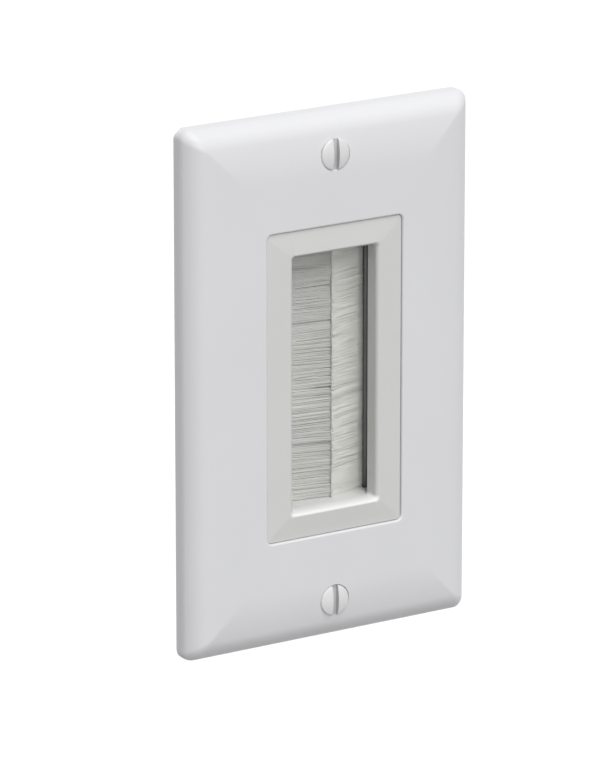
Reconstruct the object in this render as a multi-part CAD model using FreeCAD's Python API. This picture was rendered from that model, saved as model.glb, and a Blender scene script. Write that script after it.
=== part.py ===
import FreeCAD, Part
import math
import os
from FreeCAD import Vector

# A brush cable grommet: a one-gang wall plate round an insert whose window two rows of bristles close.
# Millimetres. X is to the right, Z up, and Y points into the wall. The wall's surface is y = 0.
# The origin is midway between the two box screws.

# Window and bezel of the insert
window_width = 20.6
window_height = 54.8
window_corner_radius = 0.7
window_edge_bevel = 0.7
side_bar = 6.27
end_bar = 5.92
bezel_thickness = 3.2
insert_corner_radius = 1.0
insert_edge_bevel = 0.35
insert_side_wall = 1.6
insert_recess = 0.5
bezel_rise = 0.5
insert_gap = 0.08

# Mounting strap, moulded as one with the insert
strap_thickness = 1.6
strap_lip = 1.6
strap_end_margin = 4.2
strap_corner_radius = 5.0
box_slot_length = 7.6
box_slot_width = 4.2
thread_boss_radius = 3.2
thread_boss_height = 2.4
gusset_spacing = 22.0
gusset_thickness = 1.4
gusset_reach = 4.0

# Wall plate
side_band = 18.275
plate_wall = 2.2
bevel_width = 13.0
crown_radius = 43.0
rim_radius = 6.0
rim_wall_angle = 68.0
corner_radius = 2.2
opening_corner_radius = 1.2
opening_edge_bevel = 0.55
plate_boss_radius = 3.0

# Screw places, each measured from the last outwards
opening_to_box_screw = 8.27
box_to_plate_screw = 6.75
plate_screw_to_edge = 8.73

# Plate screws: number 6 oval head, slotted
thread_radius = 1.7526
thread_clearance = 0.06
plate_hole_clearance = 0.25
plate_head_radius = 3.4
plate_head_dome = 0.85
plate_head_half_angle = 41.0
plate_head_sink = 0.15
plate_head_clearance = 0.25
plate_slot_width = 1.3
plate_slot_depth = 1.3
plate_screw_past_strap = 5.0

# Box screws: number 6 pan head, slotted, with a plain neck through the strap
box_head_radius = 3.3
box_head_height = 2.1
box_head_room = 1.3
box_head_edge_bevel = 0.7
box_slot_cut_width = 1.2
box_slot_cut_depth = 1.1
box_neck_radius = 1.45
box_screw_reach = 19.0
screw_tip_chamfer = 0.6

# Brush channels: folded sheet with lips crimped on to the bristles
channel_setback = 3.4
channel_width = 3.4
channel_sheet = 0.5
channel_lip_length = 0.5
channel_lip_pinch = 0.4
channel_back_bevel = 0.4
channel_mouth_to_core = 1.0
channel_end_seat = 2.0
channel_clearance = 0.1

# Core wires and bristles
core_wire_radius = 0.5
core_wire_overhang = 0.4
bristle_clearance = 0.05
bristle_end_clearance = 0.15
meeting_line = 2.5
meeting_gap = 0.15
tip_lead = 3.0
tuft_pitch = 1.3
tuft_width = 1.08
tuft_tip_width = 0.9
tuft_tip_thickness = 0.62
tuft_bend_share = 0.45
tuft_bend_lead = 0.9
tuft_root_fill = 0.98
tip_unevenness = 0.35
tip_wave_step = 2.4
row_wave_shift = 1.7
tip_sway = 0.12
tip_sway_step = 1.3

# Retaining frame and its screws
retainer_thickness = 1.6
retainer_inset = 0.4
retainer_window_margin = 0.3
retainer_corner_radius = 1.5
retainer_screw_spacing = 12.0
retainer_thread_radius = 1.1
retainer_thread_clearance = 0.05
retainer_hole_clearance = 0.2
retainer_thread_length = 6.0
retainer_pilot_spare = 0.4
retainer_head_radius = 2.0
retainer_head_height = 1.3
retainer_head_edge_bevel = 0.45
cross_slot_length = 2.4
cross_slot_width = 0.6
cross_slot_depth = 0.7

# Sizes that follow from those above
insert_width = window_width + 2 * side_bar
insert_height = window_height + 2 * end_bar
opening_width = insert_width + 2 * insert_gap
opening_height = insert_height + 2 * insert_gap
plate_width = opening_width + 2 * side_band
box_screw_z = opening_height / 2 + opening_to_box_screw
plate_screw_z = box_screw_z + box_to_plate_screw
plate_height = 2 * (plate_screw_z + plate_screw_to_edge)
plate_depth = strap_thickness + box_head_height + box_head_room + plate_wall
strap_width = opening_width + 2 * strap_lip
strap_height = 2 * (plate_screw_z + strap_end_margin)

# Depths along Y
strap_front = -strap_thickness
insert_face = insert_recess - plate_depth
window_rim = insert_face - bezel_rise
bezel_back = insert_face + bezel_thickness
channel_front = bezel_back + channel_setback
brush_middle = channel_front + channel_width / 2
insert_rear = channel_front + channel_width + channel_clearance
retainer_rear = insert_rear + retainer_thickness

# Places across the window, for the right-hand side
pocket_outer = insert_width / 2 - insert_side_wall
channel_back = pocket_outer - channel_clearance
end_bar_middle = window_height / 2 + end_bar / 2
channel_half_length = window_height / 2 + channel_end_seat

# The core wire lies where the channel is deepest, with the filaments folded round it
fold_radius = channel_width / 2 - channel_sheet - bristle_clearance
core_x = channel_back - channel_sheet - channel_back_bevel - fold_radius
neck_half = fold_radius - channel_lip_pinch
channel_mouth = core_x - channel_mouth_to_core

ALONG_X = Vector(1, 0, 0)
INTO_WALL = Vector(0, 1, 0)
ALONG_Z = Vector(0, 0, 1)
CENTRE = Vector(0, 0, 0)
SAME_PLACE = 1e-4


def prism(outline, direction):
    """A solid pushed from a closed outline along a vector."""
    return Part.Face(outline).extrude(direction)


def rounded_rectangle(width, height, radius, y):
    """A closed outline in the plane at depth y, with round corners."""
    edges = []
    places = []
    for x_side, z_side in ((1, 1), (1, -1), (-1, -1), (-1, 1)):
        corner = Vector(x_side * width / 2, y, z_side * height / 2)
        along = Vector(-x_side * radius, 0, 0)
        down = Vector(0, 0, -z_side * radius)
        middle = corner + (along + down) * (1 - math.sqrt(0.5))
        ends = [corner + along, corner + down]
        if x_side != z_side:
            ends.reverse()
        edges.append(Part.Arc(ends[0], middle, ends[1]).toShape())
        places.append(ends)
    for here, following in zip(places, places[1:] + places[:1]):
        edges.append(Part.LineSegment(here[1], following[0]).toShape())
    return Part.Wire(Part.sortEdges(edges)[0])


def block(x0, x1, y0, y1, z0, z1):
    """A box between two opposite corners."""
    return Part.makeBox(x1 - x0, y1 - y0, z1 - z0, Vector(x0, y0, z0))


def turned(points, x, z):
    """A solid turned about an axis along Y through (x, z), from points given as radius and depth."""
    outline = Part.makePolygon([Vector(radius, depth, 0) for radius, depth in points + points[:1]])
    solid = Part.Face(outline).revolve(CENTRE, INTO_WALL, 360)
    solid.translate(Vector(x, 0, z))
    return solid


def rod(x, z, radius, y0, y1):
    """A round bar along Y between two depths."""
    return Part.makeCylinder(radius, y1 - y0, Vector(x, y0, z), INTO_WALL)


def mirrored(shape):
    """The same piece on the other side of the window."""
    return shape.mirror(CENTRE, ALONG_X)


def edges_at_depth(shape, y):
    """The edges that lie wholly in the plane at depth y."""
    return [
        edge for edge in shape.Edges
        if abs(edge.BoundBox.YMin - y) < SAME_PLACE and abs(edge.BoundBox.YMax - y) < SAME_PLACE
    ]


def loop_edges(shape, y, width, height, near):
    """The edges at depth y that lie on a rectangle of this size, or as near it as its round corners."""
    found = []
    for edge in edges_at_depth(shape, y):
        middle = edge.valueAt((edge.FirstParameter + edge.LastParameter) / 2)
        on_side = abs(abs(middle.x) - width / 2) < near and abs(middle.z) < height / 2 + near
        on_end = abs(abs(middle.z) - height / 2) < near and abs(middle.x) < width / 2 + near
        if on_side or on_end:
            found.append(edge)
    return found


# The plate's crown: a wide arc leaves the flat face, and a tighter one turns it down to the side wall
def crown_depth(inset):
    """Depth of the plate's face at a distance in from its edge."""
    run = max(bevel_width - inset, 0)
    return crown_radius - math.sqrt(crown_radius ** 2 - run ** 2) - plate_depth


def crown_outline(half_width, shrink):
    """Places on the half section, as points across and depth: wall, round rim, crown and flat."""
    half = half_width - shrink
    arc = crown_radius - shrink
    edge_radius = rim_radius - shrink
    arc_centre = (half_width - bevel_width, crown_radius - plate_depth)
    rim_across = half_width - rim_radius * math.sin(math.radians(rim_wall_angle))
    reach = crown_radius - rim_radius
    rim_centre = (rim_across, arc_centre[1] - math.sqrt(reach ** 2 - (rim_across - arc_centre[0]) ** 2))
    lean = math.atan2(rim_across - arc_centre[0], arc_centre[1] - rim_centre[1])
    wall_lean = math.asin((half - rim_across) / edge_radius)

    def on_circle(centre, radius, angle):
        return (centre[0] + radius * math.sin(angle), centre[1] - radius * math.cos(angle))

    return {
        "wall": on_circle(rim_centre, edge_radius, wall_lean),
        "rim_middle": on_circle(rim_centre, edge_radius, (wall_lean + lean) / 2),
        "rim_end": on_circle(rim_centre, edge_radius, lean),
        "crown_middle": on_circle(arc_centre, arc, lean / 2),
        "flat": (arc_centre[0], shrink - plate_depth),
        "half": half,
    }


def crown_prism(half_width, half_length, shrink, across):
    """The crowned section over the given direction, run the length of the other."""
    place = crown_outline(half_width, shrink)
    along = ALONG_Z if across == ALONG_X else ALONG_X

    def at(name, side):
        return across * (side * place[name][0]) + INTO_WALL * place[name][1] - along * half_length

    foot = [across * (side * place["half"]) - along * half_length for side in (1, -1)]
    edges = [
        Part.LineSegment(foot[1], foot[0]).toShape(),
        Part.LineSegment(foot[0], at("wall", 1)).toShape(),
        Part.Arc(at("wall", 1), at("rim_middle", 1), at("rim_end", 1)).toShape(),
        Part.Arc(at("rim_end", 1), at("crown_middle", 1), at("flat", 1)).toShape(),
        Part.LineSegment(at("flat", 1), at("flat", -1)).toShape(),
        Part.Arc(at("flat", -1), at("crown_middle", -1), at("rim_end", -1)).toShape(),
        Part.Arc(at("rim_end", -1), at("rim_middle", -1), at("wall", -1)).toShape(),
        Part.LineSegment(at("wall", -1), foot[1]).toShape(),
    ]
    return prism(Part.Wire(edges), along * (2 * half_length))


def crowned_body(shrink):
    """Two crowned prisms crossed, so that the bevels meet in mitres."""
    half_width = plate_width / 2
    half_height = plate_height / 2
    upright = crown_prism(half_width, half_height, shrink, ALONG_X)
    level = crown_prism(half_height, half_width, shrink, ALONG_Z)
    trim = rounded_rectangle(plate_width - 2 * shrink, plate_height - 2 * shrink, corner_radius, 0)
    return upright.common(level).common(prism(trim, INTO_WALL * -plate_depth))


# Plate screw head, measured from its rim, which lies just below the crown
head_rim = crown_depth(plate_screw_to_edge) + plate_head_sink
head_slope = math.tan(math.radians(plate_head_half_angle))
head_cone_end = head_rim + (plate_head_radius - thread_radius) / head_slope
plate_bore = thread_radius + plate_hole_clearance
countersink_end = head_rim + (plate_head_radius + plate_head_clearance - plate_bore) / head_slope


def wall_plate():
    plate = crowned_body(0).cut(crowned_body(plate_wall))
    opening = rounded_rectangle(opening_width, opening_height, opening_corner_radius, -2 * plate_depth)
    plate = plate.cut(prism(opening, INTO_WALL * (2 * plate_depth)))
    front_loop = loop_edges(plate, -plate_depth, opening_width, opening_height, opening_corner_radius)
    plate = plate.makeChamfer(opening_edge_bevel, front_loop)
    boss_start = crown_depth(plate_screw_to_edge) + plate_wall / 2
    wide = plate_head_radius + plate_head_clearance
    for side in (1, -1):
        z = side * plate_screw_z
        plate = plate.fuse(rod(0, z, plate_boss_radius, boss_start, strap_front))
        plate = plate.cut(rod(0, z, plate_bore, -plate_depth, 0))
        sink = [(0, -2 * plate_depth), (wide, -2 * plate_depth), (wide, head_rim)]
        sink += [(plate_bore, countersink_end), (0, countersink_end)]
        plate = plate.cut(turned(sink, 0, z))
    return plate.removeSplitter()


def slotted(screw, x, z, width, depth, top, length):
    """A screw with a straight slot along Z cut in its head."""
    return screw.cut(block(x - width / 2, x + width / 2, top - depth, top + depth, z - length, z + length))


def plate_screws():
    tip = strap_front + strap_thickness + plate_screw_past_strap
    dome_radius = (plate_head_radius ** 2 + plate_head_dome ** 2) / (2 * plate_head_dome)
    crest = head_rim - plate_head_dome
    screws = []
    for side in (1, -1):
        z = side * plate_screw_z
        shank = [(0, head_rim), (plate_head_radius, head_rim), (thread_radius, head_cone_end)]
        shank += [(thread_radius, tip - screw_tip_chamfer)]
        shank += [(thread_radius - screw_tip_chamfer, tip), (0, tip)]
        dome = Part.makeSphere(dome_radius, Vector(0, crest + dome_radius, z))
        dome = dome.common(rod(0, z, plate_head_radius, crest, head_rim))
        screw = turned(shank, 0, z).fuse(dome).removeSplitter()
        screws.append(slotted(screw, 0, z, plate_slot_width, plate_slot_depth, crest, plate_head_radius))
    return Part.makeCompound(screws)


def box_screws():
    head_top = strap_front - box_head_height
    screws = []
    for side in (1, -1):
        z = side * box_screw_z
        outline = [(0, head_top), (box_head_radius - box_head_edge_bevel, head_top)]
        outline += [(box_head_radius, head_top + box_head_edge_bevel), (box_head_radius, strap_front)]
        outline += [(box_neck_radius, strap_front), (box_neck_radius, 0), (thread_radius, 0)]
        outline += [(thread_radius, box_screw_reach - screw_tip_chamfer)]
        outline += [(thread_radius - screw_tip_chamfer, box_screw_reach), (0, box_screw_reach)]
        screw = turned(outline, 0, z)
        screws.append(slotted(screw, 0, z, box_slot_cut_width, box_slot_cut_depth, head_top, box_head_radius))
    return Part.makeCompound(screws)


def box_slot(z):
    """Obround slot through the strap, wider than it is tall, for the box screw."""
    half_run = (box_slot_length - box_slot_width) / 2
    ends = [rod(side * half_run, z, box_slot_width / 2, strap_front, 0) for side in (1, -1)]
    middle = block(-half_run, half_run, strap_front, 0, z - box_slot_width / 2, z + box_slot_width / 2)
    return middle.multiFuse(ends)


def gusset(x, side):
    """A web behind the strap that props the end wall of the insert."""
    wall = side * insert_height / 2
    foot = [Vector(x, 0, wall), Vector(x, 0, wall + side * gusset_reach), Vector(x, insert_rear, wall)]
    return prism(Part.makePolygon(foot + foot[:1]), Vector(gusset_thickness, 0, 0))


def bezel_slope():
    """The bezel's face, which rises a little from the insert's edge to the window."""
    wide = insert_width - 2 * insert_edge_bevel
    tall = insert_height - 2 * insert_edge_bevel
    edge = rounded_rectangle(wide, tall, insert_corner_radius - insert_edge_bevel, insert_face)
    rim = rounded_rectangle(window_width, window_height, window_corner_radius, window_rim)
    return Part.makeLoft([edge, rim], True, True)


def insert_frame():
    depth = insert_rear - insert_face
    outline = rounded_rectangle(insert_width, insert_height, insert_corner_radius, insert_face)
    body = prism(outline, INTO_WALL * depth)
    body = body.makeChamfer(insert_edge_bevel, edges_at_depth(body, insert_face))
    body = body.fuse(bezel_slope())
    strap = rounded_rectangle(strap_width, strap_height, strap_corner_radius, strap_front)
    body = body.fuse(prism(strap, INTO_WALL * strap_thickness))
    for side in (1, -1):
        z = side * plate_screw_z
        body = body.fuse(rod(0, z, thread_boss_radius, strap_front, thread_boss_height))
        body = body.cut(rod(0, z, thread_radius + thread_clearance, strap_front, thread_boss_height))
        body = body.cut(box_slot(side * box_screw_z))
        for x in (gusset_spacing / 2, -gusset_spacing / 2):
            body = body.fuse(gusset(x - gusset_thickness / 2, side))
    window = rounded_rectangle(window_width, window_height, window_corner_radius, window_rim)
    body = body.cut(prism(window, INTO_WALL * (depth + bezel_rise)))
    front_loop = loop_edges(body, window_rim, window_width, window_height, window_corner_radius)
    body = body.makeChamfer(window_edge_bevel, front_loop)
    half_window = window_height / 2
    half_groove = channel_half_length + channel_clearance
    pocket_inner = channel_mouth - channel_clearance
    pocket = block(0, pocket_outer, bezel_back, insert_rear, -half_window, half_window)
    groove_front = channel_front - channel_clearance
    groove = block(pocket_inner, pocket_outer, groove_front, insert_rear, -half_groove, half_groove)
    for cut in (pocket, groove):
        body = body.cut(cut).cut(mirrored(cut))
    pilot = retainer_thread_radius + retainer_thread_clearance
    pilot_end = insert_rear - retainer_thread_length - retainer_pilot_spare
    for x, z in retainer_screw_places():
        body = body.cut(rod(x, z, pilot, pilot_end, insert_rear))
    return body.removeSplitter()


def retainer_screw_places():
    half = retainer_screw_spacing / 2
    return [(x, z) for x in (half, -half) for z in (end_bar_middle, -end_bar_middle)]


def retaining_frame():
    outer = (insert_width - 2 * retainer_inset, insert_height - 2 * retainer_inset)
    inner = (window_width + 2 * retainer_window_margin, window_height + 2 * retainer_window_margin)
    push = INTO_WALL * retainer_thickness
    frame = prism(rounded_rectangle(*outer, retainer_corner_radius, insert_rear), push)
    frame = frame.cut(prism(rounded_rectangle(*inner, retainer_corner_radius, insert_rear), push))
    for x, z in retainer_screw_places():
        hole = retainer_thread_radius + retainer_hole_clearance
        frame = frame.cut(rod(x, z, hole, insert_rear, retainer_rear))
    return frame


def retainer_screws():
    tip = insert_rear - retainer_thread_length
    crest = retainer_rear + retainer_head_height
    screws = []
    for x, z in retainer_screw_places():
        outline = [(0, tip), (retainer_thread_radius, tip)]
        outline += [(retainer_thread_radius, retainer_rear), (retainer_head_radius, retainer_rear)]
        outline += [(retainer_head_radius, crest - retainer_head_edge_bevel)]
        outline += [(retainer_head_radius - retainer_head_edge_bevel, crest), (0, crest)]
        screw = turned(outline, x, z)
        low = crest - cross_slot_depth
        long = cross_slot_length / 2
        thin = cross_slot_width / 2
        screw = screw.cut(block(x - long, x + long, low, crest, z - thin, z + thin))
        screws.append(screw.cut(block(x - thin, x + thin, low, crest, z - long, z + long)))
    return Part.makeCompound(screws)


def channel_section(sheet):
    """Corner points of the right-hand channel, drawn in by the sheet's thickness for its hollow."""
    half = channel_width / 2 - sheet
    lip = half - channel_lip_pinch
    shoulder = channel_mouth + channel_lip_length
    base = channel_back - sheet
    upper = [(channel_mouth, lip), (shoulder, half), (base - channel_back_bevel, half)]
    upper.append((base, half - channel_back_bevel))
    return upper + [(x, -y) for x, y in reversed(upper)]


def section_prism(points, half_length):
    """A section in the XY plane about the brush's middle, run along Z."""
    outline = [Vector(x, brush_middle + y, -half_length) for x, y in points]
    return prism(Part.makePolygon(outline + outline[:1]), ALONG_Z * (2 * half_length))


def right_brush_channel():
    outer = section_prism(channel_section(0), channel_half_length)
    return outer.cut(section_prism(channel_section(channel_sheet), channel_half_length))


def right_core_wire():
    half = channel_half_length - core_wire_overhang
    return Part.makeCylinder(core_wire_radius, 2 * half, Vector(core_x, brush_middle, -half), ALONG_Z)


def tuft(stations):
    """One bundle of filaments: flat faces through upright rectangles at x, y, z, thickness and width."""
    rings = []
    for x, y, z, thickness, width in stations:
        across = Vector(0, thickness / 2, 0)
        up = Vector(0, 0, width / 2)
        middle = Vector(x, y, z)
        rings.append([middle + across + up, middle - across + up, middle - across - up, middle + across - up])
    outlines = [rings[0], rings[-1]]
    for here, following in zip(rings, rings[1:]):
        for corner in range(4):
            edge = [here[corner - 1], here[corner]]
            outlines.append(edge + [following[corner], following[corner - 1]])
    faces = [Part.Face(Part.makePolygon(outline + outline[:1])) for outline in outlines]
    return Part.Solid(Part.Shell(faces))


def bristles(side, reach):
    """A brush's filaments: a fold round the core wire, a neck, and two staggered rows of tufts."""
    half_length = window_height / 2 - bristle_end_clearance
    low = Vector(core_x, brush_middle, -half_length)
    fold = Part.makeCylinder(fold_radius, 2 * half_length, low, ALONG_Z)
    front = brush_middle - neck_half
    neck = block(channel_mouth, core_x, front, front + 2 * neck_half, -half_length, half_length)
    bore = Part.makeCylinder(core_wire_radius + bristle_clearance, 2 * half_length, low, ALONG_Z)
    root = fold.fuse(neck).cut(bore)
    if side < 0:
        root = mirrored(root)
    stagger = tuft_pitch / 2
    count = int((2 * half_length - tuft_width - stagger) / tuft_pitch)
    first = -((count - 1) * tuft_pitch + stagger) / 2
    tufts = []
    for row, row_y in enumerate((-neck_half / 2, neck_half / 2)):
        for number in range(count):
            z = first + number * tuft_pitch + row * stagger
            wave = math.sin(tip_wave_step * number + row_wave_shift * row + side)
            short = tip_unevenness * (1 + wave) / 2
            mouth_x = side * channel_mouth
            tip_x = reach + side * (meeting_gap + short)
            bend_x = mouth_x + tuft_bend_share * (tip_x - mouth_x)
            y = brush_middle + row_y
            tip_z = z + tip_sway * math.sin(tip_sway_step * number)
            tufts.append(tuft([
                (mouth_x, y, z, neck_half * tuft_root_fill, tuft_width),
                (bend_x, y - tuft_bend_lead, z, tuft_tip_thickness, tuft_width),
                (tip_x, y - tip_lead, tip_z, tuft_tip_thickness, tuft_tip_width),
            ]))
    return root.multiFuse(tufts)


os.makedirs("parts", exist_ok=True)
right_channel = right_brush_channel()
right_wire = right_core_wire()
nodes = {
    "wall_plate": wall_plate(),
    "insert_frame": insert_frame(),
    "right_brush_channel": right_channel,
    "left_brush_channel": mirrored(right_channel),
    "right_core_wire": right_wire,
    "left_core_wire": mirrored(right_wire),
    "right_bristles": bristles(1, meeting_line),
    "left_bristles": bristles(-1, meeting_line),
    "retaining_frame": retaining_frame(),
    "retainer_screws": retainer_screws(),
    "plate_screws": plate_screws(),
    "box_screws": box_screws(),
}
for name, shape in nodes.items():
    shape.exportStep("parts/" + name + ".step")
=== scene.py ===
import math

import bmesh
import bpy
import numpy as np
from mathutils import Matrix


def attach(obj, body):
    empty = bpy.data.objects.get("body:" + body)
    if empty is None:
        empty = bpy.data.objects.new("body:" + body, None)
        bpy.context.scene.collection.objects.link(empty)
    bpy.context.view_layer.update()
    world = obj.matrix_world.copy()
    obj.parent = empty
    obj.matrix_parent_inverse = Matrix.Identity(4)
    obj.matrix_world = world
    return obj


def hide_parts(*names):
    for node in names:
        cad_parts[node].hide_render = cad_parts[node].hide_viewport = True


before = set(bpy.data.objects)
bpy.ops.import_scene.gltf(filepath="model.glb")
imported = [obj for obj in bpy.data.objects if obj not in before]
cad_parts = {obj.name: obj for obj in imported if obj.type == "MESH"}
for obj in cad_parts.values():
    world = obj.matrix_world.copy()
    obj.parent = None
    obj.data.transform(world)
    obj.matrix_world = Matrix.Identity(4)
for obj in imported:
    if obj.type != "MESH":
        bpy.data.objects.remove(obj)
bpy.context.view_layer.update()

# Sizes are written in millimetres, and Blender works in metres
MM = 0.001
BODY = "root"
FACING_ROOM = (math.pi / 2, 0, 0)


def at(x, y, z):
    return (x * MM, y * MM, z * MM)


# Shader sums and finishes

class Wire:
    """An output socket in a recipe. Sums on it add Math nodes."""

    def __init__(self, recipe, socket):
        self.recipe = recipe
        self.socket = socket

    def sum(self, operation, first, second):
        return self.recipe.node("ShaderNodeMath", {"operation": operation}, {0: first, 1: second})

    def __add__(self, other):
        return self.sum("ADD", self, other)

    def __radd__(self, other):
        return self.sum("ADD", other, self)

    def __sub__(self, other):
        return self.sum("SUBTRACT", self, other)

    def __rsub__(self, other):
        return self.sum("SUBTRACT", other, self)

    def __mul__(self, other):
        return self.sum("MULTIPLY", self, other)

    def __rmul__(self, other):
        return self.sum("MULTIPLY", other, self)


class Recipe:
    """A node tree whose nodes all come from one method."""

    def __init__(self, owner):
        owner.use_nodes = True
        self.tree = owner.node_tree

    def node(self, kind, settings=None, inputs=None, output=0):
        made = self.tree.nodes.new(kind)
        for name, value in (settings or {}).items():
            setattr(made, name, value)
        for name, value in (inputs or {}).items():
            if isinstance(value, Wire):
                self.tree.links.new(value.socket, made.inputs[name])
            else:
                made.inputs[name].default_value = value
        return Wire(self, made.outputs[output])


class Finish(Recipe):
    """A node material with one main shader, whose even values are set on its own sockets."""

    def __init__(self, name, **even):
        self.material = bpy.data.materials.new(name)
        super().__init__(self.material)
        self.shader = self.tree.nodes["Principled BSDF"]
        for socket, value in even.items():
            self.shader.inputs[socket.replace("_", " ")].default_value = value
        self.place = self.node("ShaderNodeTexCoord", output="Object")

    def feed(self, socket, wire):
        self.tree.links.new(wire.socket, self.shader.inputs[socket])

    def grain(self, pitch, detail=2.0, stretch=(1, 1, 1)):
        """Even noise about a half, with its pitch in millimetres, drawn out along an axis by stretch."""
        scale = tuple(1 / (pitch * MM * length) for length in stretch)
        drawn = self.node("ShaderNodeMapping", None, {"Vector": self.place, "Scale": scale})
        return self.node("ShaderNodeTexNoise", None, {"Vector": drawn, "Scale": 1.0, "Detail": detail})

    def blend(self, share, low, high):
        """A colour between two colours or wires, by a share from 0 to 1."""
        return self.node("ShaderNodeMix", {"data_type": "RGBA"}, {0: share, 6: low, 7: high}, output=2)

    def tint(self, share, low, high):
        """A colour between two given as red, green and blue."""
        return self.blend(share, (*low, 1), (*high, 1))

    def along(self, axis):
        """The place along the X, Y or Z axis."""
        return self.node("ShaderNodeSeparateXYZ", None, {0: self.place}, axis)

    def off_middle(self):
        """How far a place lies to the left or right of the middle."""
        return self.node("ShaderNodeMath", {"operation": "ABSOLUTE"}, {0: self.along("X")})

    def step(self, place, start, end):
        """A share that goes from 0 at the start to 1 at the end, both in millimetres."""
        return self.node("ShaderNodeMapRange", None, {0: place, 1: start * MM, 2: end * MM})

    def relief(self, height, depth, strength=1.0):
        """A bump whose full height is the given depth in millimetres."""
        inputs = {"Height": height, "Distance": depth * MM, "Strength": strength}
        self.feed("Normal", self.node("ShaderNodeBump", None, inputs))


# Where masks fade in, in millimetres, and the colours that they bring in: painted light on the window's
# ledge, painted shade in the channel's mouth and near the bristles' meeting line, and a darker grey in the
# screws' slots
LEDGE_FRONT_FADE = (-28.5, -28.0)
LEDGE_REAR_FADE = (-26.9, -27.3)
LEDGE_END_FADE = (11.2, 10.4)
LEDGE_PAINTED_LIGHT = (0.77, 0.77, 0.76, 1)
MOUTH_FADE = (13.2, 12.5)
MOUTH_SHARE = 0.9
MOUTH_PAINTED_SHADE = (0.12, 0.12, 0.117, 1)
MEETING_SHADE_FADE = (-8, 2.4)
MEETING_SHADE_NYLON = (0.3, 0.3, 0.283, 1)
SLOT_FADE = (0.72, 0.64)
SLOT_SHARE = 0.9
SLOT_GREY = (0.46, 0.46, 0.46, 1)
BARE_FADE = (-6.0, -5.7)


def ledge_light_mask(finish):
    """A share that is 1 on the ledge below the insert's window, where light from above is painted on as a
    paler white.
    """
    z = finish.along("Z")
    on_slope = finish.step(z, *LEDGE_FRONT_FADE) * finish.step(z, *LEDGE_REAR_FADE)
    return on_slope * finish.step(finish.off_middle(), *LEDGE_END_FADE)


def channel_mouth_shade(finish):
    """A share that is high in the mouth that grips the bristles, where shade is painted on as a dark colour.
    """
    return MOUTH_SHARE * finish.step(finish.off_middle(), *MOUTH_FADE)


def moulded_plastic(name, low, high, roughness, texture_pitch, texture_depth, painted_light=None):
    """Moulded plastic: a faint drift of tone, a fine tool texture and slightly uneven gloss, with light
    painted on as a paler white where a mask is given.
    """
    finish = Finish(name, IOR=1.49)
    drift = finish.grain(22.0, 3.0)
    colour = finish.tint(drift, low, high)
    # Painted light: a paler white where the mask is high
    if painted_light:
        colour = finish.blend(painted_light(finish), colour, LEDGE_PAINTED_LIGHT)
    finish.feed("Base Color", colour)
    texture = finish.grain(texture_pitch, 2.0)
    finish.feed("Roughness", roughness + 0.1 * (texture - 0.5) + 0.08 * (drift - 0.5))
    finish.relief(texture, texture_depth)
    return finish.material


def drawn_metal(name, low, high, roughness, stretch, scratch_depth, shade_mask=None):
    """Bare or plated metal with fine lines along one axis and a cloudy gloss, with shade painted on as a
    dark colour where a mask is given.
    """
    finish = Finish(name, Metallic=1.0)
    cloud = finish.grain(3.5, 3.0)
    lines = finish.grain(0.12, 2.0, stretch)
    colour = finish.tint(cloud, low, high)
    # Painted shade: a dark colour where the mask is high
    if shade_mask:
        colour = finish.blend(shade_mask(finish), colour, MOUTH_PAINTED_SHADE)
    finish.feed("Base Color", colour)
    finish.feed("Roughness", roughness + 0.18 * (lines - 0.5) + 0.2 * (cloud - 0.5))
    finish.relief(lines, scratch_depth)
    return finish.material


def nylon_filament(name, low, high, meeting_shade):
    """Pale nylon whose strands differ a little in tone, with shade painted on that darkens it to the right
    by the given share.
    """
    finish = Finish(name, Roughness=0.42, IOR=1.53)
    strand = finish.grain(0.35, 2.0, (60, 3, 1))
    clump = finish.grain(2.2, 2.0, (8, 2, 1))
    pale = finish.tint(0.6 * strand + 0.4 * clump, low, high)
    # Painted shade from the right bristles' overlapping tips, darker towards the meeting line
    shade_share = meeting_shade * finish.step(finish.along("X"), *MEETING_SHADE_FADE)
    finish.feed("Base Color", finish.blend(shade_share, pale, MEETING_SHADE_NYLON))
    return finish.material


def painted_metal(name):
    """White paint on a turned head, darker grey in the slot, over a plated shank that is left bare."""
    finish = Finish(name, IOR=1.5)
    drift = finish.grain(2.5, 3.0)
    peel = finish.grain(0.3, 2.0)
    slot = finish.step(finish.off_middle(), *SLOT_FADE)
    bare = finish.step(finish.along("Y"), *BARE_FADE)
    paint = finish.tint(drift, (0.64, 0.64, 0.645), (0.7, 0.7, 0.705))
    plating = finish.tint(drift, (0.56, 0.58, 0.61), (0.7, 0.71, 0.72))
    # Darker grey in the slot
    slot_darkened = finish.blend(SLOT_SHARE * slot, paint, SLOT_GREY)
    finish.feed("Base Color", finish.blend(bare, slot_darkened, plating))
    finish.feed("Metallic", bare)
    finish.feed("Roughness", 0.3 + 0.12 * peel)
    finish.relief(peel, 0.006)
    return finish.material


PLATE = moulded_plastic("plate_plastic", (0.645, 0.646, 0.66), (0.675, 0.676, 0.69), 0.4, 0.5, 0.004)
# The insert carries painted light on its window ledge
INSERT = moulded_plastic(
    "insert_plastic", (0.575, 0.575, 0.565), (0.605, 0.605, 0.595), 0.4, 0.22, 0.006, ledge_light_mask,
)
# One nylon in two copies: the left set painted darker as shade, the right set painted lighter as light
NYLON = {
    "left": nylon_filament("bristle_nylon_left_shaded", (0.49, 0.49, 0.464), (0.655, 0.655, 0.62), 0.5),
    "right": nylon_filament("bristle_nylon_right_lit", (0.64, 0.64, 0.61), (0.8, 0.8, 0.76), 0.0),
}
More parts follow.
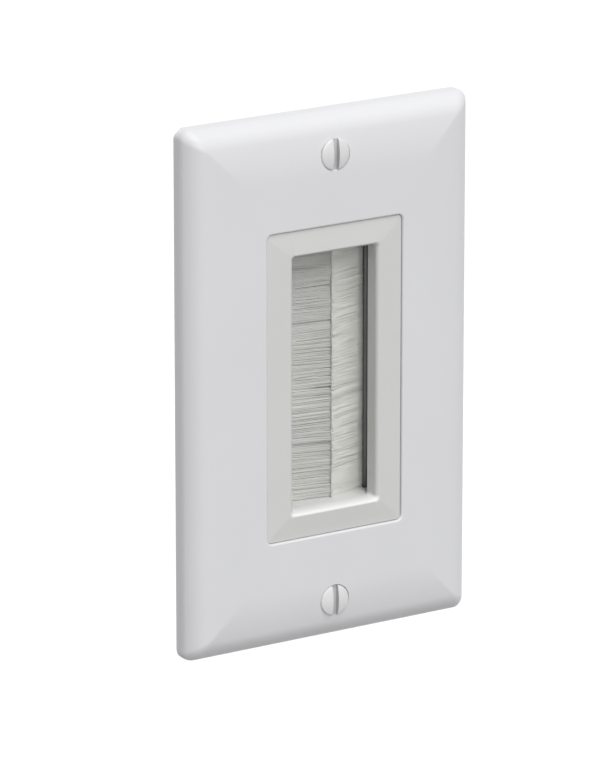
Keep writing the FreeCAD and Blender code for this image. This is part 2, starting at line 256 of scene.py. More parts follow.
# The channel carries painted shade in its mouth, deep under the bezel
CHANNEL = drawn_metal(
    "channel_steel", (0.4, 0.4, 0.4), (0.52, 0.52, 0.52), 0.6, (1, 1, 90), 0.002, channel_mouth_shade,
)
WIRE = drawn_metal("core_wire_steel", (0.5, 0.5, 0.51), (0.62, 0.62, 0.63), 0.3, (1, 1, 120), 0.002)
ZINC = drawn_metal("zinc_screw", (0.48, 0.5, 0.53), (0.62, 0.63, 0.645), 0.46, (1, 1, 1), 0.003)
PAINT = painted_metal("painted_screw")


# Modelling by hand

def deselect():
    if bpy.context.object and bpy.context.object.mode != "OBJECT":
        bpy.ops.object.mode_set(mode="OBJECT")
    bpy.ops.object.select_all(action="DESELECT")


def pick(kind, test):
    """Select the verts, edges or faces of the piece in edit mode that pass a test, and nothing else."""
    data = bpy.context.object.data
    mesh = bmesh.from_edit_mesh(data)
    for group in (mesh.verts, mesh.edges, mesh.faces):
        for part in group:
            part.select = False
    for part in getattr(mesh, kind):
        if test(part):
            part.select_set(True)
    mesh.select_flush_mode()
    bmesh.update_edit_mesh(data)


def new_piece(name):
    piece = bpy.context.object
    piece.name = piece.data.name = name
    bpy.ops.object.transform_apply(location=True, rotation=True, scale=True)
    bpy.ops.object.mode_set(mode="EDIT")
    bpy.ops.mesh.select_mode(type="EDGE")
    bpy.ops.mesh.select_all(action="SELECT")
    return piece


def rectangle_loop(name, start, corner_steps, side_cuts):
    """A loop of edges round a rectangle with round corners, facing the room, selected in edit mode."""
    half_x, half_z, y, corner = start
    deselect()
    bpy.ops.mesh.primitive_plane_add(size=2 * MM, location=at(0, y, 0), rotation=FACING_ROOM)
    piece = new_piece(name)
    bpy.ops.transform.resize(value=(half_x, 1, half_z), center_override=at(0, y, 0))
    bpy.ops.mesh.bevel(offset=corner * MM, segments=corner_steps, affect="VERTICES")
    bpy.ops.mesh.delete(type="ONLY_FACE")
    pick("edges", lambda edge: edge.calc_length() > 2 * corner * MM)
    bpy.ops.mesh.subdivide(number_cuts=side_cuts)
    bpy.ops.mesh.select_all(action="SELECT")
    return piece


def round_loop(name, radius, y, count):
    """A loop of edges round a circle about the Y axis, selected in edit mode."""
    deselect()
    bpy.ops.mesh.primitive_circle_add(
        vertices=count, radius=radius * MM, location=at(0, y, 0), rotation=FACING_ROOM,
    )
    return new_piece(name)


def reshape_corners(half_x, half_z, old, new):
    """Draw the corners of the selected loop in or out, from their old radii to a new one."""
    data = bpy.context.object.data
    mesh = bmesh.from_edit_mesh(data)
    for vertex in mesh.verts:
        in_x = half_x - abs(vertex.co.x) / MM
        in_z = half_z - abs(vertex.co.z) / MM
        if vertex.select and in_x < old[0] + 1e-3 and in_z < old[1] + 1e-3:
            vertex.co.x = math.copysign((half_x - in_x * new / old[0]) * MM, vertex.co.x)
            vertex.co.z = math.copysign((half_z - in_z * new / old[1]) * MM, vertex.co.z)
    bmesh.update_edit_mesh(data)


def carry_loop(start, stations):
    """Draw the selected loop out through stations of half width, half height, depth and corner radius."""
    here, corner = start[:3], start[3:] * 2
    for half_x, half_z, y, *radius in stations:
        step = {"value": at(0, y - here[2], 0)}
        bpy.ops.mesh.extrude_edges_move(TRANSFORM_OT_translate=step)
        grow = (half_x / here[0], 1, half_z / here[1])
        bpy.ops.transform.resize(value=grow, center_override=at(0, y, 0))
        if radius:
            old = (corner[0] * grow[0], corner[1] * grow[2])
            reshape_corners(half_x, half_z, old, radius[0])
            corner = radius * 2
        here = (half_x, half_z, y)


def close_shell():
    """Merge doubles, turn the faces outwards and go back to object mode."""
    bpy.ops.mesh.select_all(action="SELECT")
    bpy.ops.mesh.remove_doubles(threshold=0.002 * MM)
    bpy.ops.mesh.normals_make_consistent(inside=False)
    bpy.ops.object.mode_set(mode="OBJECT")


def turned(name, profile, count):
    """A closed piece turned about the Y axis from points of radius and depth, capped at both ends."""
    piece = round_loop(name, *profile[0], count)
    bpy.ops.mesh.edge_face_add()
    pick("edges", lambda edge: True)
    start = (profile[0][0], profile[0][0], profile[0][1])
    carry_loop(start, [(radius, radius, y) for radius, y in profile[1:]])
    bpy.ops.mesh.edge_face_add()
    close_shell()
    return piece


def block(name, low, high):
    """A box between two corners, for cutting."""
    deselect()
    middle = [(a + b) / 2 for a, b in zip(low, high)]
    bpy.ops.mesh.primitive_cube_add(size=1, location=at(*middle))
    piece = bpy.context.object
    piece.name = name
    piece.scale = [(b - a) * MM for a, b in zip(low, high)]
    bpy.ops.object.transform_apply(location=True, rotation=True, scale=True)
    return piece


def make_active(piece):
    deselect()
    piece.select_set(True)
    bpy.context.view_layer.objects.active = piece


def apply_modifier(piece, kind, **settings):
    make_active(piece)
    modifier = piece.modifiers.new(kind.lower(), kind)
    for name, value in settings.items():
        setattr(modifier, name, value)
    bpy.ops.object.modifier_apply(modifier=modifier.name)


def combine(piece, tool, operation):
    """Cut a tool out of a piece, or fuse it on, and remove the tool."""
    apply_modifier(piece, "BOOLEAN", operation=operation, object=tool, solver="EXACT")
    data = tool.data
    bpy.data.objects.remove(tool)
    bpy.data.meshes.remove(data)


def move(piece, x, y, z):
    make_active(piece)
    piece.location = at(x, y, z)
    bpy.ops.object.transform_apply(location=True, rotation=True, scale=True)


def copied(piece, name):
    """Another piece of the same shape with its own mesh."""
    twin = piece.copy()
    twin.data = piece.data.copy()
    twin.name = twin.data.name = name
    bpy.context.scene.collection.objects.link(twin)
    return twin


def joined(pieces):
    make_active(pieces[0])
    for piece in pieces:
        piece.select_set(True)
    bpy.ops.object.join()
    return pieces[0]


def smooth(piece, degrees):
    make_active(piece)
    bpy.ops.object.shade_smooth_by_angle(angle=math.radians(degrees))


def finish_piece(piece, material, slot, *nodes):
    """Give a piece its finish, its body, and the CAD nodes that it stands for."""
    piece.data.materials.clear()
    piece.data.materials.append(material)
    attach(piece, BODY)
    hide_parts(*nodes)


def softened(node, name, width, steps, angle=30):
    """A copy of a CAD node with its flat faces whole again and its edges rounded."""
    piece = copied(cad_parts[node], name)
    piece.parent = None
    for key in list(piece.keys()):
        del piece[key]
    make_active(piece)
    bpy.ops.object.mode_set(mode="EDIT")
    bpy.ops.mesh.select_all(action="SELECT")
    bpy.ops.mesh.remove_doubles(threshold=0.001 * MM)
    bpy.ops.mesh.dissolve_limited(angle_limit=math.radians(0.5))
    bpy.ops.object.mode_set(mode="OBJECT")
    apply_modifier(
        piece, "BEVEL", width=width * MM, segments=steps, limit_method="ANGLE",
        angle_limit=math.radians(angle), harden_normals=False, use_clamp_overlap=True,
    )
    smooth(piece, 35)
    return piece


# Wall plate: one loop carried from the rear rim over the crown, into the opening and back inside

PLATE_HALF = (34.925, 57.15)
PLATE_FRONT = -7.2
PLATE_WALL = 2.2
OPENING_HALF = (16.65, 33.4)
OPENING_ROUND = 0.45
OPENING_CORNER = 1.2
CORNER_RADIUS = 2.2
MITRE_RADIUS = 0.45
MITRE_START = 5.0
CROWN_WIDTH = 13.0
CROWN_RADIUS = 43.0
RIM_RADIUS = 6.0
RIM_WALL_ANGLE = 68.0
REAR_ROUND = 0.3
REAR_EASE = 0.29 * REAR_ROUND
RIM_START = 64
SIDE_WALL = ((0, -1.2), (0, -2.1), (0.02, -2.42))
OPENING_REAR_ROUND = 0.2
OPENING_REAR_EASE = 0.06
PLATE_SCREW_Z = 48.42
HEAD_RIM = -6.837
HEAD_RADIUS = 3.4
HEAD_GAP = 0.15
HEAD_SLOPE = math.tan(math.radians(41))
THREAD_RADIUS = 1.7526
PLATE_BORE = 2.0026
BOSS_RADIUS = 3.0
BOSS_BEVEL = 0.15
BOSS_START = -5.4
HOLE_REACH = (-12, 2)
STRAP_FRONT = -1.6

rim_inset = RIM_RADIUS * math.sin(math.radians(RIM_WALL_ANGLE))
crown_reach = CROWN_RADIUS - RIM_RADIUS
rim_depth = CROWN_RADIUS + PLATE_FRONT - math.sqrt(crown_reach ** 2 - (CROWN_WIDTH - rim_inset) ** 2)
crown_lean = math.degrees(math.asin((CROWN_WIDTH - rim_inset) / crown_reach))


def spread(first, last, count):
    return [first + (last - first) * number / count for number in range(count + 1)]


def crown_section(shrink, rim_start, rim_steps, crown_steps):
    """Inset and depth from the side wall up the rim and crown to the flat face, drawn in by shrink."""
    points = []
    for angle in spread(rim_start, crown_lean, rim_steps):
        turn = math.radians(angle)
        radius = RIM_RADIUS - shrink
        points.append((rim_inset - radius * math.sin(turn), rim_depth - radius * math.cos(turn)))
    for angle in spread(crown_lean, 0, crown_steps)[1:]:
        turn = math.radians(angle)
        radius = CROWN_RADIUS - shrink
        depth = CROWN_RADIUS + PLATE_FRONT - radius * math.cos(turn)
        points.append((CROWN_WIDTH - radius * math.sin(turn), depth))
    return points


def plate_stations():
    def outside(inset, y):
        ease = min(inset / MITRE_START, 1)
        corner = CORNER_RADIUS + (MITRE_RADIUS - CORNER_RADIUS) * ease * ease * (3 - 2 * ease)
        return (PLATE_HALF[0] - inset, PLATE_HALF[1] - inset, y, corner)

    def opening(outset, y):
        return (OPENING_HALF[0] + outset, OPENING_HALF[1] + outset, y, OPENING_CORNER + outset)

    stations = [outside(REAR_ROUND, 0), outside(REAR_EASE, -REAR_EASE), outside(0, -REAR_ROUND)]
    stations += [outside(*point) for point in SIDE_WALL]
    stations += [outside(*point) for point in crown_section(0, RIM_START, 14, 16)]
    for angle in spread(0, 90, 8):
        turn = math.radians(angle)
        drop = OPENING_ROUND * (1 - math.cos(turn))
        stations.append(opening(OPENING_ROUND * (1 - math.sin(turn)), PLATE_FRONT + drop))
    back = PLATE_FRONT + PLATE_WALL
    stations += [opening(0, back - OPENING_REAR_ROUND), opening(OPENING_REAR_EASE, back - OPENING_REAR_EASE)]
    stations.append(opening(OPENING_REAR_ROUND, back))
    inner_wall_angle = math.degrees(math.asin((rim_inset - PLATE_WALL) / (RIM_RADIUS - PLATE_WALL)))
    inside = crown_section(PLATE_WALL, inner_wall_angle, 8, 8)
    stations += [outside(*point) for point in reversed(inside)]
    stations += [outside(PLATE_WALL, -REAR_ROUND), outside(PLATE_WALL + REAR_EASE, -REAR_EASE)]
    stations.append(outside(PLATE_WALL + REAR_ROUND, 0))
    return stations


def screw_hole(z):
    """What the countersunk hole and the bore take out of the plate."""
    wide = HEAD_RADIUS + HEAD_GAP
    narrow = HEAD_RIM + (wide - PLATE_BORE) / HEAD_SLOPE
    profile = [(wide, HOLE_REACH[0]), (wide, HEAD_RIM), (PLATE_BORE, narrow), (PLATE_BORE, HOLE_REACH[1])]
    tool = turned("screw_hole", profile, 64)
    move(tool, 0, 0, z)
    return tool


stations = plate_stations()
plate = rectangle_loop("plate_moulding", stations[0], 8, 20)
carry_loop(stations[0], stations[1:])
pick("edges", lambda edge: edge.is_boundary)
bpy.ops.mesh.bridge_edge_loops()
close_shell()
for side in (1, -1):
    profile = [(BOSS_RADIUS, BOSS_START), (BOSS_RADIUS, STRAP_FRONT - BOSS_BEVEL)]
    profile.append((BOSS_RADIUS - BOSS_BEVEL, STRAP_FRONT))
    boss = turned("screw_boss", profile, 48)
    move(boss, 0, 0, side * PLATE_SCREW_Z)
    combine(plate, boss, "UNION")
    combine(plate, screw_hole(side * PLATE_SCREW_Z), "DIFFERENCE")
smooth(plate, 32)
apply_modifier(plate, "WEIGHTED_NORMAL", keep_sharp=True, weight=60)
finish_piece(plate, PLATE, "plate_plastic", "wall_plate")

# Insert: the CAD form with moulded edges, and a bezel drawn out in front of it to a rounded window

INSERT_HALF = (16.57, 33.32)
INSERT_CORNER = 1.0
INSERT_FACE = -6.7
INSERT_EDGE = 0.2
BEZEL_CUT = -4.1
WINDOW_HALF = (10.3, 27.4)
WINDOW_CORNER = 0.7
WINDOW_RIM = -7.2
WINDOW_ROUND = 1.0
LEDGE_DEPTH = 3.0


def bezel_stations():
    """Stations round the insert's outer edge and the window's rim, whose top and bottom slope for longer."""
    outer, rim = [], []
    for angle in spread(0, 90, 4):
        turn = math.radians(angle)
        inset = INSERT_EDGE * (1 - math.cos(turn))
        y = INSERT_FACE + INSERT_EDGE * (1 - math.sin(turn))
        outer.append((INSERT_HALF[0] - inset, INSERT_HALF[1] - inset, y, INSERT_CORNER - inset))
    for angle in spread(0, 90, 14):
        turn = math.radians(angle)
        depth = LEDGE_DEPTH * (1 - math.sin(turn))
        ledge = WINDOW_ROUND * (1 - math.cos(turn))
        rise = max(WINDOW_ROUND - depth, 0)
        jamb = WINDOW_ROUND - math.sqrt(WINDOW_ROUND ** 2 - rise ** 2)
        corner = WINDOW_CORNER + jamb * 0.5
        rim.append((WINDOW_HALF[0] + jamb, WINDOW_HALF[1] + ledge, WINDOW_RIM + depth, corner))
    return outer, rim


def in_window(edge):
    middle = (edge.verts[0].co + edge.verts[1].co) / 2
    return abs(middle.x) < (WINDOW_HALF[0] + 1) * MM and abs(middle.z) < (WINDOW_HALF[1] + 1) * MM


def on_cut(edge):
    return edge.is_boundary and edge.verts[0].co.y > (BEZEL_CUT - 0.1) * MM


insert = softened("insert_frame", "insert_moulding", 0.2, 3)
make_active(insert)
bpy.ops.object.mode_set(mode="EDIT")
bpy.ops.mesh.select_mode(type="EDGE")
bpy.ops.mesh.select_all(action="SELECT")
bpy.ops.mesh.bisect(plane_co=at(0, BEZEL_CUT, 0), plane_no=(0, 1, 0), clear_inner=True)
pick("edges", lambda edge: edge.is_boundary and edge.calc_length() > 4 * MM)
bpy.ops.mesh.subdivide(number_cuts=14)
outer, rim = bezel_stations()
pick("edges", lambda edge: edge.is_boundary and not in_window(edge))
carry_loop((*INSERT_HALF, BEZEL_CUT, INSERT_CORNER), outer)
pick("edges", lambda edge: on_cut(edge) and in_window(edge))
carry_loop((*WINDOW_HALF, BEZEL_CUT, WINDOW_CORNER), rim)
pick("edges", lambda edge: edge.is_boundary)
bpy.ops.mesh.bridge_edge_loops()
close_shell()
smooth(insert, 35)
apply_modifier(insert, "WEIGHTED_NORMAL", keep_sharp=True, weight=60)
finish_piece(insert, INSERT, "insert_plastic", "insert_frame")

# Retaining frame and channels: the CAD forms with moulded and folded edges
retainer = softened("retaining_frame", "retaining_frame_moulding", 0.25, 3)
finish_piece(retainer, INSERT, "insert_plastic", "retaining_frame")
for side in ("left", "right"):
    channel = softened(side + "_brush_channel", side + "_channel_folded", 0.22, 4, 8)
    finish_piece(channel, CHANNEL, "channel_steel", side + "_brush_channel")
    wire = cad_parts[side + "_core_wire"]
    wire.data.materials.clear()
    wire.data.materials.append(WIRE)

# Screws

THREAD_PITCH = 0.794


def spiral(name, root, crest, pitch, start, end, steps=20):
    """A closed ridge wound about the Y axis between two depths."""
    deselect()
    low = root - 0.08
    bpy.ops.mesh.primitive_circle_add(vertices=3, radius=MM, location=(0, 0, 0))
    piece = new_piece(name)
    bpy.ops.object.mode_set(mode="OBJECT")
    half = 0.44 * pitch
    corners = ((low, -half), (crest, 0), (low, half))
    for vertex, (radius, along) in zip(piece.data.vertices, corners):
        vertex.co = at(radius, start + half + along, 0)
    turns = int((end - start - 2 * half) / pitch)
    apply_modifier(
        piece, "SCREW", axis="Y", screw_offset=pitch * MM, iterations=turns, steps=steps,
        render_steps=steps, use_merge_vertices=True, merge_threshold=0.001 * MM,
    )
    make_active(piece)
    bpy.ops.object.mode_set(mode="EDIT")
    bpy.ops.mesh.select_mode(type="EDGE")
    pick("edges", lambda edge: edge.is_boundary)
    bpy.ops.mesh.edge_face_add()
    close_shell()
    return piece


def dome(radius, rise, crest, steps):
    """Profile of a shallow dome from near its crest to its rim."""
    ball = (radius ** 2 + rise ** 2) / (2 * rise)
    reach = math.asin(radius / ball)
    points = []
    for turn in spread(0.06 * reach, reach, steps):
        points.append((ball * math.sin(turn), crest + ball * (1 - math.cos(turn))))
    return points


def pair_of_screws(screw, z, name):
    twin = copied(screw, name + "_lower")
    move(screw, 0, 0, z)
    move(twin, 0, 0, -z)
    screw = joined([screw, twin])
    screw.name = screw.data.name = name
    return screw


CORE_RADIUS = 1.38
PLATE_TIP = 5.0
HEAD_DOME = 0.81
HEAD_EDGE = 0.5
HEAD_EDGE_DROP = 0.1
DOME_INSET = 0.36
DOME_SHORT = 0.38
SLOT_HALF = 0.65
SLOT_DEPTH = 1.05
SLOT_BEVEL = 0.07

crest = HEAD_RIM - HEAD_DOME
profile = dome(HEAD_RADIUS - DOME_INSET, HEAD_DOME - DOME_SHORT, crest, 10)
for angle in spread(18, 90, 7):
    turn = math.radians(angle)
    y = HEAD_RIM + HEAD_EDGE_DROP - HEAD_EDGE * math.cos(turn)
    profile.append((HEAD_RADIUS - HEAD_EDGE * (1 - math.sin(turn)), y))
profile += [(THREAD_RADIUS, HEAD_RIM + (HEAD_RADIUS - THREAD_RADIUS) / HEAD_SLOPE), (CORE_RADIUS, -4.5)]
profile += [(CORE_RADIUS, PLATE_TIP - 0.5), (CORE_RADIUS - 0.4, PLATE_TIP)]
screw = turned("plate_screw", profile, 64)
slot_low = (-SLOT_HALF, crest - 1, -HEAD_RADIUS - 1)
slot_high = (SLOT_HALF, crest + SLOT_DEPTH, HEAD_RADIUS + 1)
combine(screw, block("slot_cutter", slot_low, slot_high), "DIFFERENCE")
apply_modifier(
    screw, "BEVEL", width=SLOT_BEVEL * MM, segments=2, limit_method="ANGLE", angle_limit=math.radians(35),
)
smooth(screw, 40)
thread = spiral("plate_thread", CORE_RADIUS, THREAD_RADIUS, THREAD_PITCH, -4.4, PLATE_TIP - 0.3)
smooth(thread, 30)
screw = pair_of_screws(joined([screw, thread]), PLATE_SCREW_Z, "plate_screws_slotted")
finish_piece(screw, PAINT, "painted_screw", "plate_screws")

BOX_SCREW_Z = 41.67
BOX_HEAD_TOP = -3.7
BOX_HEAD_RADIUS = 3.3
BOX_HEAD_EDGE = 0.8
BOX_HEAD_EDGE_Y = BOX_HEAD_TOP + 0.95
BOX_HEAD_BEVEL = 0.12
BOX_DOME = (2.5, 0.18)
BOX_SLOT_HALF = 0.6
BOX_SLOT_DEPTH = 1.1
BOX_NECK = 1.45
BOX_TIP = 19.0

profile = dome(*BOX_DOME, BOX_HEAD_TOP, 5)
for angle in spread(15, 90, 6):
    turn = math.radians(angle)
    y = BOX_HEAD_EDGE_Y - BOX_HEAD_EDGE * math.cos(turn)
    profile.append((BOX_DOME[0] + BOX_HEAD_EDGE * math.sin(turn), y))
profile += [(BOX_HEAD_RADIUS, STRAP_FRONT - BOX_HEAD_BEVEL), (BOX_HEAD_RADIUS - BOX_HEAD_BEVEL, STRAP_FRONT)]
profile += [(BOX_NECK, STRAP_FRONT), (BOX_NECK, 0.05), (CORE_RADIUS, 0.15)]
profile += [(CORE_RADIUS, BOX_TIP - 0.6), (CORE_RADIUS - 0.5, BOX_TIP)]
screw = turned("box_screw", profile, 56)
slot_low = (-BOX_SLOT_HALF, BOX_HEAD_TOP - 1, -BOX_HEAD_RADIUS - 1)
slot_high = (BOX_SLOT_HALF, BOX_HEAD_TOP + BOX_SLOT_DEPTH, BOX_HEAD_RADIUS + 1)
combine(screw, block("slot_cutter", slot_low, slot_high), "DIFFERENCE")
smooth(screw, 35)
thread = spiral("box_thread", CORE_RADIUS, THREAD_RADIUS, THREAD_PITCH, 0.1, BOX_TIP - 0.5)
smooth(thread, 30)
screw = pair_of_screws(joined([screw, thread]), BOX_SCREW_Z, "box_screws_threaded")
finish_piece(screw, ZINC, "zinc_screw", "box_screws")

RETAINER_X = 6.0
RETAINER_Z = 30.36
RETAINER_REAR = 5.0
RETAINER_CREST = 6.3
RETAINER_HEAD = 2.0
RETAINER_CORE = 0.8
RETAINER_THREAD = 1.1
RETAINER_TIP = -2.6
RETAINER_PITCH = 0.9
RETAINER_EDGE = 0.8
CROSS_HALF = (1.2, 0.3)
CROSS_DEPTH = 0.7

profile = [(0.1, RETAINER_TIP), (RETAINER_CORE, RETAINER_TIP + 1.2), (RETAINER_CORE, RETAINER_REAR)]
profile += [(RETAINER_HEAD - 0.08, RETAINER_REAR), (RETAINER_HEAD, RETAINER_REAR + 0.08)]
for angle in spread(90, 20, 6):
    turn = math.radians(angle)
    y = RETAINER_CREST - 0.9 + RETAINER_EDGE * math.cos(turn)
    profile.append((RETAINER_HEAD - RETAINER_EDGE * (1 - math.sin(turn)), y))
profile += [(0.7, RETAINER_CREST - 0.02), (0.2, RETAINER_CREST)]
screw = turned("retainer_screw", profile, 40)
for long_x, long_z in (CROSS_HALF, CROSS_HALF[::-1]):
    low = (-long_x, RETAINER_CREST - CROSS_DEPTH, -long_z)
    combine(screw, block("cross_cutter", low, (long_x, RETAINER_CREST + 1, long_z)), "DIFFERENCE")
smooth(screw, 35)
thread_reach = (RETAINER_TIP + 1.0, RETAINER_REAR - 0.1)
thread = spiral("retainer_thread", RETAINER_CORE, RETAINER_THREAD, RETAINER_PITCH, *thread_reach, 16)
smooth(thread, 30)
screw = joined([screw, thread])
screws = [copied(screw, "retainer_screw_copy") for number in range(3)] + [screw]
for piece, (x, z) in zip(screws, ((1, 1), (1, -1), (-1, 1), (-1, -1))):
    move(piece, x * RETAINER_X, 0, z * RETAINER_Z)
screws = joined(screws)
screws.name = screws.data.name = "retainer_screws_cross"
finish_piece(screws, ZINC, "zinc_screw", "retainer_screws")

# Bristles: one filament modelled once and copied along its own bend

FILAMENT_RADIUS = 0.073
FILAMENT_SIDES = 3
FILAMENTS = 6200
ROOT_X = 12.0
BRUSH_MIDDLE = 1.6
BRUSH_HALF_LENGTH = 27.3
NECK_HALF = 0.7
LEFT_TIP = 2.8
LEFT_LEAD = 2.85
LEFT_UNRULY = 0.75
LEFT_SEED = 11
RIGHT_TIP = 2.4
RIGHT_LEAD = 3.2
RIGHT_UNRULY = 0.5
RIGHT_SEED = 23

# Shares of a filament's length where it may bend, and how far the pack swells there
BENDS = (0, 0.16, 0.37, 0.58, 0.79, 1)
SWELLS = (1, 1.25, 1.5, 1.4, 1.05, 0.75)

# How filaments gather in clumps, and how far single ones stray, as sizes of a spread
CLUMP_WIDTHS = (0.7, 2.6)
CLUMP_BLUR = 0.12
CLUMP_PULLS = (0.05, 0.3)
CLUMP_LEAD = 0.09
CLUMP_SWAY = 0.1
DRIFT_LENGTHS = (19.0, 9.5, 5.3)
DRIFT_SIZES = (0.25, 0.22, 0.15)
STRAY_TIP = 0.07
STRAY_LEAD = 0.04
STRAY_REACH = 0.24
STRAY_BOW = 0.07
TIP_OVERLAP = 0.2

# How late in its length a filament leads out and shifts, and how late the ends of the row stand straight
LEAD_POWER = 1.6
SHIFT_POWER = 1.8
END_POWER = 8

filament = round_loop("filament", FILAMENT_RADIUS, 0, FILAMENT_SIDES)
ring = (FILAMENT_RADIUS, FILAMENT_RADIUS)
carry_loop((*ring, 0), [(*ring, share) for share in BENDS[1:]])
bpy.ops.mesh.edge_face_add()
pick("edges", lambda edge: edge.is_boundary)
bpy.ops.mesh.edge_face_add()
close_shell()
strand_points = np.array([vertex.co for vertex in filament.data.vertices]) / MM
strand_points[:, 1] = np.clip(strand_points[:, 1], 0, 1)  # a share just below 0 has no power
strand_faces = [list(face.vertices) for face in filament.data.polygons]
bpy.data.objects.remove(filament)


def wave(rng, lengths, sizes):
    """A smooth uneven curve: sines of the given lengths, each with its own start."""
    starts = rng.uniform(0, 2 * math.pi, len(lengths))

    def height(z):
        parts = zip(sizes, lengths, starts)
        return sum(size * np.sin(2 * math.pi * z / length + start) for size, length, start in parts)

    return height


def brush(name, side, tip_x, tip_lead, unruly, seed):
    """A row of filaments from a channel's mouth to the meeting line, drawn together in clumps."""
    rng = np.random.default_rng(seed)
    root_z = np.sort(rng.uniform(-BRUSH_HALF_LENGTH, BRUSH_HALF_LENGTH, FILAMENTS))
    root_y = rng.uniform(-NECK_HALF, NECK_HALF, FILAMENTS)
    edges = [-BRUSH_HALF_LENGTH - 0.5]
    while edges[-1] < BRUSH_HALF_LENGTH + 0.5:
        edges.append(edges[-1] + rng.uniform(*CLUMP_WIDTHS))
    edges = np.array(edges)
    middles = (edges[1:] + edges[:-1]) / 2
    blurred_z = root_z + rng.normal(0, CLUMP_BLUR, FILAMENTS)
    owner = np.clip(np.searchsorted(edges, blurred_z) - 1, 0, len(middles) - 1)
    looseness = unruly * np.clip(0.6 - root_y / NECK_HALF, 0, 1.4)
    pull = rng.uniform(*CLUMP_PULLS, len(middles))[owner]
    clump_lead = rng.normal(0, CLUMP_LEAD, len(middles))[owner]
    clump_sway = rng.normal(0, CLUMP_SWAY, len(middles))[owner]
    drift = unruly * wave(rng, DRIFT_LENGTHS, DRIFT_SIZES)(root_z)
    tip_shift_z = looseness * (pull * (middles[owner] - root_z) + clump_sway) + drift
    tip_shift_z = tip_shift_z + rng.normal(0, STRAY_TIP, FILAMENTS)
    tip_shift_z *= 1 - (root_z / BRUSH_HALF_LENGTH) ** END_POWER
    lead = tip_lead + looseness * clump_lead + rng.normal(0, STRAY_LEAD, FILAMENTS)
    reach = tip_x + side * np.abs(rng.normal(0, STRAY_REACH, FILAMENTS)) - side * TIP_OVERLAP
    bow = rng.normal(0, STRAY_BOW, FILAMENTS)
    root_x = side * ROOT_X
    points = []
    for x, along, z in strand_points:
        spine_x = root_x + (reach - root_x) * along
        spine_y = BRUSH_MIDDLE + root_y * np.interp(along, BENDS, SWELLS) - lead * along ** LEAD_POWER
        spine_z = root_z + tip_shift_z * along ** SHIFT_POWER + bow * math.sin(math.pi * along)
        spine_z = np.clip(spine_z, -BRUSH_HALF_LENGTH, BRUSH_HALF_LENGTH)
        points.append(np.stack([spine_x, spine_y + x, spine_z + z], axis=1))
    points = np.stack(points, axis=1).reshape(-1, 3) * MM
    count = len(strand_points)
    faces = []
    for number in range(FILAMENTS):
        faces += [[corner + number * count for corner in face] for face in strand_faces]
    data = bpy.data.meshes.new(name)
    data.from_pydata(points.tolist(), [], faces)
    piece = bpy.data.objects.new(name, data)
    bpy.context.scene.collection.objects.link(piece)
    make_active(piece)
    bpy.ops.object.mode_set(mode="EDIT")
    bpy.ops.mesh.select_all(action="SELECT")
    bpy.ops.mesh.normals_make_consistent(inside=False)
    bpy.ops.object.mode_set(mode="OBJECT")
    smooth(piece, 60)
    return piece


brushes = {
    "left": brush("left_filaments", -1, LEFT_TIP, LEFT_LEAD, LEFT_UNRULY, LEFT_SEED),
    "right": brush("right_filaments", 1, RIGHT_TIP, RIGHT_LEAD, RIGHT_UNRULY, RIGHT_SEED),
}
for side, bristles in brushes.items():
    finish_piece(bristles, NYLON[side], "bristle_nylon", side + "_bristles")

# Lights, world and stage

# Each light: azimuth, elevation, strength and softness, with angles in degrees
KEY_LIGHT = (0, 58, 1.47, 40)
FRONT_LIGHT = (-12, 12, 1.05, 30)
REAR_LIGHT = (180, 6, 1.5, 30)
AMBIENT = 0.42
SKY_LIFT = 0.9
FLOOR_DROP = 0.36
FLOOR_SIZE = 60


def sun(name, azimuth, elevation, strength, softness):
    lamp = bpy.data.lights.new(name, "SUN")
    lamp.energy = strength
    lamp.angle = math.radians(softness)
    holder = bpy.data.objects.new(name, lamp)
    bpy.context.scene.collection.objects.link(holder)
    holder.rotation_euler = (math.radians(90 - elevation), 0, math.radians(azimuth))


sun("key_light", *KEY_LIGHT)
sun("front_light", *FRONT_LIGHT)
sun("rear_light", *REAR_LIGHT)


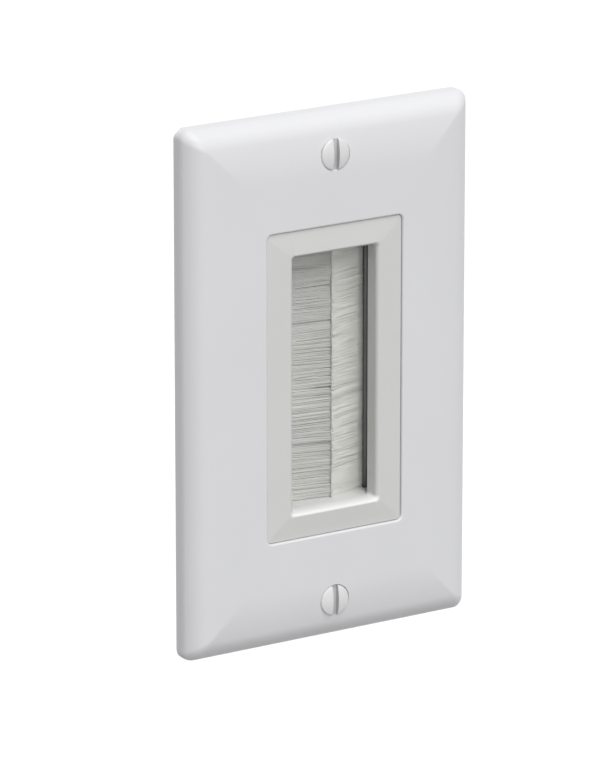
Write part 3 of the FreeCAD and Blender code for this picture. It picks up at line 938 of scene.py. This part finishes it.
def studio_world():
    """Soft light, more from above, and plain white where a camera, gloss or glass ray shows the world."""
    world = bpy.data.worlds.new("studio")
    bpy.context.scene.world = world
    recipe = Recipe(world)
    recipe.tree.nodes.remove(recipe.tree.nodes["Background"])
    direction = recipe.node("ShaderNodeTexCoord", output="Generated")
    height = recipe.node("ShaderNodeSeparateXYZ", None, {0: direction}, "Z")
    plain = {"Color": (1, 1, 1, 1)}
    strength = AMBIENT + AMBIENT * SKY_LIFT * height
    fill = recipe.node("ShaderNodeBackground", None, {**plain, "Strength": strength})
    white = recipe.node("ShaderNodeBackground", None, {**plain, "Strength": 1.0})
    kinds = ("Is Camera Ray", "Is Glossy Ray", "Is Transmission Ray")
    camera, gloss, glass = [recipe.node("ShaderNodeLightPath", output=kind) for kind in kinds]
    shown = recipe.node("ShaderNodeMixShader", None, {0: camera + gloss + glass, 1: fill, 2: white})
    recipe.tree.links.new(shown.socket, recipe.tree.nodes["World Output"].inputs["Surface"])


studio_world()


def floor():
    """A wide pale floor well below the part, which takes the shadow and throws no light on the part."""
    deselect()
    bpy.ops.mesh.primitive_plane_add(size=FLOOR_SIZE, location=(0, 0, -FLOOR_DROP))
    sheet = bpy.context.object
    sheet.name = sheet.data.name = "floor"
    finish = Finish("floor_paper", Roughness=1.0)
    finish.shader.inputs["Specular IOR Level"].default_value = 0.0
    finish.feed("Base Color", finish.tint(finish.grain(900.0), (0.9, 0.9, 0.9), (0.92, 0.92, 0.92)))
    sheet.data.materials.append(finish.material)
    sheet.visible_diffuse = False


floor()

# Camera

CAMERA_PLACE = (-645.97, -1017.9, 353.8)
CAMERA_YAW = 32.224
CAMERA_PITCH = 16.482
CAMERA_FOCUS = 280.52

lens = bpy.data.cameras.new("photo_camera")
lens.lens = CAMERA_FOCUS
lens.sensor_width = 36
lens.clip_start = 0.05
lens.clip_end = 100
camera = bpy.data.objects.new("photo_camera", lens)
bpy.context.scene.collection.objects.link(camera)
camera.location = at(*CAMERA_PLACE)
camera.rotation_euler = (math.radians(90 - CAMERA_PITCH), 0, math.radians(-CAMERA_YAW))
bpy.context.scene.camera = camera
bpy.context.scene.view_settings.view_transform = "Standard"

deselect()
